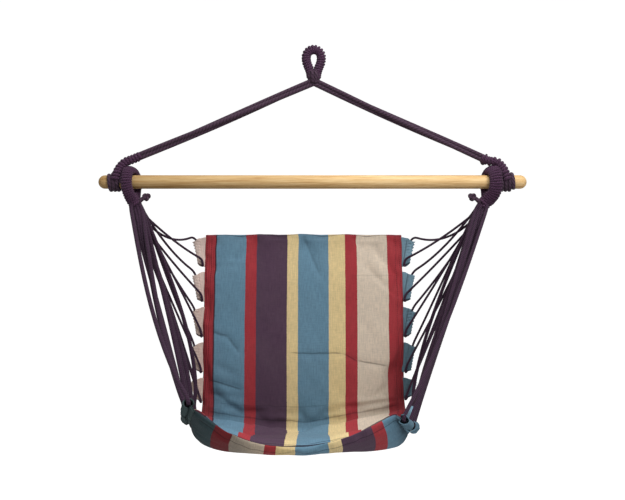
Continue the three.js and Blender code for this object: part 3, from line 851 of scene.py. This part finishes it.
CREASES = [  # soft folds in the upper face: ends (x, s), half width and depth, all in mm
    ((-34, 300), (100, 301), 4.0, 2.2),
    ((90, 299), (132, 321), 4.0, 2.4),
    ((124, 318), (206, 331), 4.5, 2.4),
    ((-224, 246), (-176, 262), 5.0, 3.0),
    ((-184, 258), (-150, 300), 6.0, 3.0),
    ((-230, 361), (-140, 388), 5.0, 3.2),
    ((-214, 322), (-158, 352), 8.0, 2.6),
    ((60, 422), (224, 423), 6.0, -2.6),
    ((60, 440), (224, 441), 7.0, 2.6),
    ((-220, 400), (-140, 408), 8.0, 2.0),
    ((0, 14), (44, 118), 7.0, 2.4),
    ((-224, 78), (-146, 76), 5.0, -2.2),
    ((138, 56), (168, 104), 9.0, 2.2),
    ((-200, 560), (-60, 590), 14.0, 4.0),
    ((60, 600), (205, 566), 14.0, 4.0),
    ((-150, 700), (170, 690), 20.0, 4.0),
    ((-214, 640), (-120, 760), 11.0, 3.4),
    ((210, 650), (120, 770), 11.0, 3.4),
]


def creased(x, s):
    """Depth of the folds at points of the upper face."""
    depth = np.zeros(np.broadcast(x, s).shape)
    for start, end, half_width, deep in CREASES:
        a, b = np.array(start) * MM, np.array(end) * MM
        run = b - a
        t = np.clip(((x - a[0]) * run[0] + (s - a[1]) * run[1]) / (run @ run), 0, 1)
        away = np.hypot(x - a[0] - t * run[0], s - a[1] - t * run[1])
        fade = np.sin(pi * np.clip(t, 0.02, 0.98)) ** 0.5
        depth += deep * MM * fade * np.exp(-((away / (half_width * MM)) ** 2))
    return depth


def half_thickness(x, s):
    """Half the padded thickness: round at the seams, pinched at the crease."""
    ROUND = 26 * MM
    PINCH = 0.85
    PINCH_REACH = 12 * MM
    rounding = np.sqrt(1 - (1 - np.clip(from_seam(x, s) / ROUND, 0, 1)) ** 2)
    pinch = 1 - PINCH * np.exp(-(((s - CREASE) / PINCH_REACH) ** 2))
    return (THICKNESS / 2 - 1 * MM) * rounding * pinch


def under_drop(x, s):
    """How far the seat's lower face hangs below the padding, between its seams."""
    aside = np.abs(x) / HALF_WIDTH
    return UNDER_DROP * np.sin(pi * ahead(s)) * aside**1.5 * (1 - aside**8)


def cushion_mesh():
    """One closed skin: the upper and lower faces share the seam that runs all round.
    With it come each vertex's cloth coordinates, and 1 for those of the lower face."""
    COLUMNS = 66
    ROWS = 116
    x = np.linspace(-HALF_WIDTH, HALF_WIDTH, COLUMNS + 1)
    x, s = np.meshgrid(x, np.linspace(0, LENGTH, ROWS + 1))
    half = half_thickness(x, s)
    upper = on_cloth(x, s, THICKNESS / 2 - half).reshape(-1, 3)
    lower = on_cloth(x, s, THICKNESS / 2 + half + under_drop(x, s)).reshape(-1, 3)
    grid = np.arange(x.size).reshape(x.shape)
    under = grid.copy()
    under[1:-1, 1:-1] = x.size + np.arange((ROWS - 1) * (COLUMNS - 1)).reshape(ROWS - 1, -1)
    inner = grid[1:-1, 1:-1].ravel()
    points = np.vstack([upper, lower[inner]])
    flat = np.stack([x.ravel(), s.ravel()], axis=1)
    flat = np.vstack([flat, flat[inner]])
    faces = []
    for sheet in (grid, under):
        a, b, c, d = sheet[:-1, :-1], sheet[:-1, 1:], sheet[1:, 1:], sheet[1:, :-1]
        order = (a, d, c, b) if sheet is grid else (a, b, c, d)
        faces.extend(np.stack(order, axis=-1).reshape(-1, 4).tolist())
    mesh = bpy.data.meshes.new("striped_cushion")
    mesh.from_pydata(points.tolist(), [], faces)
    corners = np.empty(len(mesh.loops), np.int32)
    mesh.loops.foreach_get("vertex_index", corners)
    side_of = np.repeat([0.0, 1.0], len(corners) // 2)
    coords = np.column_stack([flat[corners], side_of])
    layer = mesh.attributes.new("cloth", "FLOAT_VECTOR", "CORNER")
    layer.data.foreach_set("vector", coords.ravel())
    return mesh, flat, np.concatenate([np.zeros(x.size), np.ones(len(inner))])


def puffed(thing, flat):
    """Inflates the cushion as cloth a little too large for its seams, which makes it pucker."""
    FRAMES = 18
    MOST = 8 * MM  # how far the cloth may move from its rest shape
    LOOSE_HOLD = 0.10  # how firmly the free cloth keeps its shape
    x, s = flat.T
    pinned = (from_seam(x, s) < 1 * MM) | (np.abs(s - CREASE) < 5 * MM)
    weights = np.where(pinned, 1.0, LOOSE_HOLD)
    group = thing.vertex_groups.new(name="held")
    for index, weight in enumerate(weights):
        group.add([index], float(weight), "REPLACE")
    rest = np.array([v.co for v in thing.data.vertices], float)
    cloth = thing.modifiers.new("cloth", "CLOTH")
    settings = cloth.settings
    settings.vertex_group_mass = "held"
    settings.quality = 5
    settings.mass = 0.25
    settings.tension_stiffness = 25
    settings.compression_stiffness = 25
    settings.shear_stiffness = 8
    settings.bending_stiffness = 0.4
    settings.shrink_min = -0.035
    settings.use_pressure = True
    settings.uniform_pressure_force = 3.0
    settings.effector_weights.gravity = 0
    cloth.collision_settings.use_collision = False
    cloth.point_cache.frame_end = FRAMES
    for frame_number in range(1, FRAMES + 1):
        scene.frame_set(frame_number)
    shown = thing.evaluated_get(bpy.context.evaluated_depsgraph_get())
    moved = np.array([v.co for v in shown.data.vertices], float)
    thing.modifiers.remove(cloth)
    thing.vertex_groups.clear()
    scene.frame_set(1)
    shift = moved - rest
    length = np.linalg.norm(shift, axis=1, keepdims=True)
    shift *= np.minimum(1, MOST / np.maximum(length, 1e-9))
    thing.data.vertices.foreach_set("co", (rest + shift).ravel())
    thing.data.update()


def subdivide(thing):
    """Replaces a mesh with its shape after one subdivision."""
    modifier = thing.modifiers.new("smooth", "SUBSURF")
    modifier.levels = 1
    shown = thing.evaluated_get(bpy.context.evaluated_depsgraph_get())
    mesh = bpy.data.meshes.new_from_object(shown)
    thing.modifiers.clear()
    thing.data = mesh
    smooth(mesh)


def cushion():
    """The padded cloth, with its soft folds and the gathers along its front hem."""
    GATHER = 8.5 * MM  # from one pucker to the next
    HEM = 24 * MM
    mesh, flat, side = cushion_mesh()
    thing = placed("striped_cushion", mesh)
    puffed(thing, flat)
    x, s = flat.T
    _, out = axes_at(x, s)
    soft = np.clip(from_seam(x, s) / (12 * MM), 0, 1)
    folds = creased(x, s) * (side == 0) * soft
    uneven = waves(x, s + side, seed=5, count=9, longest=200 * MM, shortest=38 * MM)
    press = folds * 1.3 + 2.0 * MM * uneven * soft
    wander = waves(x, s, seed=9, count=4, longest=120 * MM, shortest=50 * MM)
    gather = np.cos(x * 2 * pi / GATHER + 3 * wander)
    press += 0.9 * MM * gather * np.exp(-(((LENGTH - HEM - s) / (11 * MM)) ** 2))
    points = np.array([v.co for v in mesh.vertices], float) + out * press[:, None]
    mesh.vertices.foreach_set("co", points.ravel())
    mesh.materials.append(striped_material())
    subdivide(thing)
    nodes = [
        "back_front_panel", "back_padding", "back_rear_panel",
        "seat_top_panel", "seat_padding", "seat_bottom_panel",
    ]
    stand_for(thing, "striped_fabric", *nodes)
    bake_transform(thing)


# ---- the scalloped borders ----

BACK_STARTS = [BACK_TAB_START + k * BACK_TAB_PITCH for k in range(TABS)]
SEAT_STARTS = [CREASE + SEAT_TAB_START + k * SEAT_TAB_PITCH for k in range(TABS)]


def tunnel_inset(start, s):
    """Distance from the seam to the cord at a place along a scallop."""
    t = (s - start - TAB_LENGTH / 2) / (TAB_LENGTH / 2)
    slant = TUNNEL_SLANT if start < CREASE else 0
    return TUNNEL_INSET - slant * np.clip(t, -1.2, 1.2)


def scallop(made, sign, start, seed, slack=1.0):
    """A strip of border folded round its cord and sewn down: a flat web, a tunnel and open ends.
    slack widens the tunnel."""
    WALL = 1.3 * MM
    RIB = 7.2 * MM  # one ripple of the frilled edge
    SEWN_UNDER = 7 * MM
    ROWS = 33
    rng = np.random.default_rng(seed)
    deep = (6.2 + rng.uniform(-0.6, 0.6)) * slack * MM
    wide = (9.0 + rng.uniform(-1, 1)) * slack**0.6 * MM
    turn = np.radians(np.linspace(138, -138, 19))
    along = np.linspace(-1, 1, ROWS)[:, None]
    middle = start + TAB_LENGTH / 2
    inset = tunnel_inset(start, middle + along * TAB_LENGTH / 2)
    web_b = np.linspace(0, 1, 6)[None] * (inset + 1 * MM) - SEWN_UNDER
    web_d = np.full_like(web_b, 2 * MM)
    fold_b = inset + wide * np.cos(turn)[None]
    fold_d = np.broadcast_to(deep * np.sin(turn), fold_b.shape)
    outer_b = np.hstack([web_b, fold_b, web_b[:, ::-1]])
    outer_d = np.hstack([web_d, fold_d, -web_d])
    thin_b = np.hstack([web_b, inset + (wide - WALL) * np.cos(turn)[None], web_b[:, ::-1]])
    thin_d = np.hstack([web_d - WALL, fold_d * (1 - WALL / deep), WALL - web_d])
    beyond = np.hstack([outer_b, thin_b[:, ::-1]])
    depth = np.hstack([outer_d, thin_d[:, ::-1]])
    far = np.clip(beyond / TAB_DEPTH, 0, 1)
    half = TAB_LENGTH / 2 + (9 - 13 * far**1.4) * MM
    s = middle + along * half + far * 1.6 * MM * np.sin(beyond * 260 + seed)
    flare = 1 + 0.22 * np.abs(along) ** 3
    ripple = np.cos((s - middle) * 2 * pi / RIB + seed)
    ripple += 0.5 * np.sin((s - middle) * 830 + 2 * seed)
    push = 0.95 * MM * ripple * far**0.7
    safe = np.clip(s, 1 * MM, LENGTH - 1 * MM)
    points = on_tab(sign, safe, beyond + push * far, depth * flare + push)
    rows, columns = s.shape
    coords = np.stack([beyond, s, depth], axis=-1).reshape(-1, 3)
    faces = [quad if sign < 0 else quad[::-1] for quad in ring_faces(rows, columns)]
    for row in (0, rows - 1):
        for column in range(columns // 2 - 1):
            a = row * columns + column
            b = row * columns + columns - 1 - column
            quad = (a, a + 1, b - 1, b)
            faces.append(quad if (row == 0) == (sign > 0) else quad[::-1])
    made.add(points.reshape(-1, 3), faces, coords)


# each border's own colour, darkened further along by painted shade
BORDERS = {  # colour stops along the cloth
    "left_back": [(0, linear(208, 188, 179)), (CREASE, linear(192, 168, 156))],
    "right_back": [
        (0, linear(114, 146, 163)), (0.24, linear(94, 124, 140)), (CREASE, linear(66, 90, 102)),
    ],
    "left_seat": [(CREASE + 0.08, linear(176, 158, 132)), (CREASE + 0.13, linear(56, 74, 76))],
    "right_seat": [(CREASE, linear(120, 156, 176)), (CREASE + 0.25, linear(92, 124, 142))],
}
SEAT_SLACK = [1.0, 1.3, 1.9, 1.7, 1.6]  # the tunnels gape more towards the front


def borders(name, sign):
    for part, starts in (("back", BACK_STARTS), ("seat", SEAT_STARTS)):
        made = Build()
        for k, start in enumerate(starts):
            slack = SEAT_SLACK[k] if part == "seat" else 1.0
            scallop(made, sign, start, 3 * k + (sign > 0) + 40 * (part == "seat"), slack)
        material = border_material(f"{name}_{part}_border", BORDERS[f"{name}_{part}"])
        thing = made.object(f"{name}_{part}_border", material, "cloth")
        body = "sling" if part == "back" else "seat"
        settle(thing, body, "border_fabric", f"{name}_{part}_scallops")


# ---- the thin cords ----

def rounded(corners, spacing=4 * MM, passes=3):
    """Straight runs between corners with each corner rounded off."""
    path = even(corners, spacing)
    for _ in range(passes):
        path[1:-1] = (path[:-2] + 2 * path[1:-1] + path[2:]) / 4
    return path


def mouth(sign, start, outwards):
    """A tunnel's open end: the end itself, the way out of it and the side that faces up."""
    centre = start + TAB_LENGTH / 2
    ends = np.array([centre, centre + outwards * TAB_LENGTH / 2])
    inset = tunnel_inset(start, ends)
    middle, end = on_tab(sign, ends, inset, np.zeros(2))
    face = on_tab(sign, ends[1:], inset[1:], np.array([-1 * MM]))[0] - end
    return middle, end, unit(end - middle), unit(face)


def strand_top(sign, strand):
    """Where a strand leaves the throat: rows from the back to the front, drawn close together."""
    PITCH = 6.0
    row, column = divmod(strand + 1, 4)
    across = PITCH * (column - 1.5)
    top = rope_at_bar([-412 + INWARD[sign] + 0.9 * across, 0, -46], sign)
    low = rope_at_bar([-406 + 1.2 * INWARD[sign] + 1.35 * across, 0, -66], sign)
    shift = np.array([0, PITCH * (2.5 - row) * MM, 0])
    return top + shift * 0.7, low + shift


SAGS = [30, 8, 14, 5, 9, 3, 6, 2, 3, 1]  # mm below the straight line, for the back's strands
SEAT_SAG = 1
SEAT_BOWS = {-1: (-30, 21), 1: (-20, 10)}  # mm outwards, for the seat's rearmost and foremost strands
SHARPEST = radians(118)  # a strand that turns back more than this loops over its tunnel


def strand(sign, index, inside, end, way, face):
    """One strand from a tunnel's middle out of its end and up to the throat."""
    top, low = strand_top(sign, index)
    heading = unit(low - end)
    if heading @ way > cos(SHARPEST):
        aim, stops = heading, [(2, 5), (3, 14)]
    else:
        aim, stops = face, [(8, 2), (13, 7), (8, 12), (-6, 11)]
    leave = [end + way * out * MM + aim * off * MM for out, off in stops]
    corner = leave[-1]
    t = np.linspace(0, 1, 14)[1:-1, None]
    sag = (SAGS[index] if index < len(SAGS) else SEAT_SAG) * MM
    rng = np.random.default_rng(100 + index + (50 if sign > 0 else 0))
    wander = rng.uniform(-3.5, 3.5, 2) * MM
    free = corner + (low - corner) * t
    once, twice = np.sin(pi * t), np.sin(2 * pi * t)
    free[:, 2] -= sag * 4 * (t * (1 - t))[:, 0]
    free[:, 1] += (wander[0] * once + wander[1] * twice)[:, 0]
    bow = 0
    if index >= 2 * TABS:
        rear, front = SEAT_BOWS[sign]
        bow = (rear + (front - rear) * (index - 2 * TABS) / (2 * TABS - 1)) * MM
    free[:, 0] += (sign * bow * np.sin(pi * t**0.75) + 0.6 * wander[1] * once)[:, 0]
    return np.vstack([[inside, end], leave, free, [low, top]])


def cords(name, sign):
    """Ten cords a side: each comes down from the throat, goes through one scallop and back up."""
    for part, starts, first in (("back", BACK_STARTS, 0), ("seat", SEAT_STARTS, TABS)):
        made = Build()
        for k, start in enumerate(starts):
            index = first + k
            inside, entry, way_in, face_in = mouth(sign, start, -1)
            _, leaving, way_out, face_out = mouth(sign, start, 1)
            down = strand(sign, 2 * index, inside, entry, way_in, face_in)
            up = strand(sign, 2 * index + 1, inside, leaving, way_out, face_out)
            path = rounded(np.vstack([down[::-1], up[1:]]))
            made.rope(path, CORD_RADIUS if part == "back" else SEAT_CORD_RADII[sign], 7)
        thing = made.object(f"{name}_{part}_cords", CORD)
        stand_for(thing, "cord", *[f"{name}_cord_{first + k + 1:02d}" for k in range(TABS)])
        if part == "back":
            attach(thing, "sling")
        else:
            upper, _ = strand_top(sign, 2 * first + TABS)
            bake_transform(thing)


# ---- the set, the light and the camera ----

def backdrop():
    """A wide pale floor that curves up into a wall far behind."""
    FLOOR = -1.28
    HALF_SPAN = 9.0
    BEND = 2.0
    turn = np.linspace(0, pi / 2, 16)
    y = np.concatenate([[-HALF_SPAN], HALF_SPAN - BEND + BEND * np.sin(turn), [HALF_SPAN]])
    z = np.concatenate([[FLOOR], FLOOR + BEND - BEND * np.cos(turn), [HALF_SPAN]])
    points = [(x, a, b) for a, b in zip(y, z) for x in (-HALF_SPAN, HALF_SPAN)]
    faces = [(2 * i, 2 * i + 1, 2 * i + 3, 2 * i + 2) for i in range(len(y) - 1)]
    mesh = bpy.data.meshes.new("backdrop")
    mesh.from_pydata(points, [], faces)
    smooth(mesh)
    n = Nodes("backdrop_paper")
    tone = n.ramp(n.noise(n.place(), 1.5, detail=2.0), [(0.0, grey(0.52)), (1.0, grey(0.58))])
    grain = n.noise(n.place(), 400.0, detail=2.0)
    seen = n.put("ShaderNodeLightPath").outputs["Is Camera Ray"]
    n.feed(n.shader, "Emission Color", WHITE)
    n.feed(n.shader, "Emission Strength", n.times(seen, 0.8))
    mesh.materials.append(n.finish(tone, 0.9, n.bump(grain, 0.1 * MM, strength=0.2)))
    placed("backdrop", mesh)


def area_light(name, place, target, size, power):
    light = bpy.data.lights.new(name, "AREA")
    light.shape = "DISK"
    light.size = size
    light.energy = power
    thing = placed(name, light)
    thing.location = place
    thing.rotation_euler = (Vector(target) - Vector(place)).to_track_quat("-Z", "Y").to_euler()


def lights():
    world = bpy.data.worlds.new("studio")
    scene.world = world
    world.use_nodes = True
    tree = world.node_tree
    sky = tree.nodes["Background"]
    sky.inputs["Color"].default_value = WHITE
    seen = tree.nodes.new("ShaderNodeLightPath").outputs["Is Camera Ray"]
    strength = tree.nodes.new("ShaderNodeMath")
    strength.operation = "MULTIPLY_ADD"
    strength.inputs[1].default_value = 0.6  # the sky looks white and lights only softly
    strength.inputs[2].default_value = 0.47
    tree.links.new(seen, strength.inputs[0])
    tree.links.new(strength.outputs[0], sky.inputs["Strength"])
    middle = (0, 0, -0.5)
    area_light("key", (1.3, -2.0, 1.15), middle, size=0.8, power=43)
    area_light("fill", (-2.4, -2.2, 0.2), middle, size=2.0, power=7)
    area_light("top", (0.2, -0.6, 1.5), (0, -0.25, -0.9), size=0.9, power=22)


def camera():
    DISTANCE = 3.0
    WIDTH_SEEN = 1.46  # in the plane of the bar
    data = bpy.data.cameras.new("camera")
    data.sensor_fit = "HORIZONTAL"
    data.angle = 2 * atan(WIDTH_SEEN / 2 / DISTANCE)
    data.shift_y = 0.0145
    thing = placed("camera", data)
    thing.location = (BAR_CENTRE[0], -DISTANCE, -0.48)
    thing.rotation_euler = (pi / 2, 0, 0)
    scene.camera = thing


# ---- everything ----

scene.view_settings.view_transform = "Standard"
spreader_bar()
top_eye()
throat()
fork_lashing()
tail_knot()
for side_name, side_sign in SIDES:
    leg(side_name, side_sign)
    leg_end(side_name, side_sign)
    sling_eye(side_name, side_sign)
    borders(side_name, side_sign)
    cords(side_name, side_sign)
cushion()
backdrop()
lights()
camera()
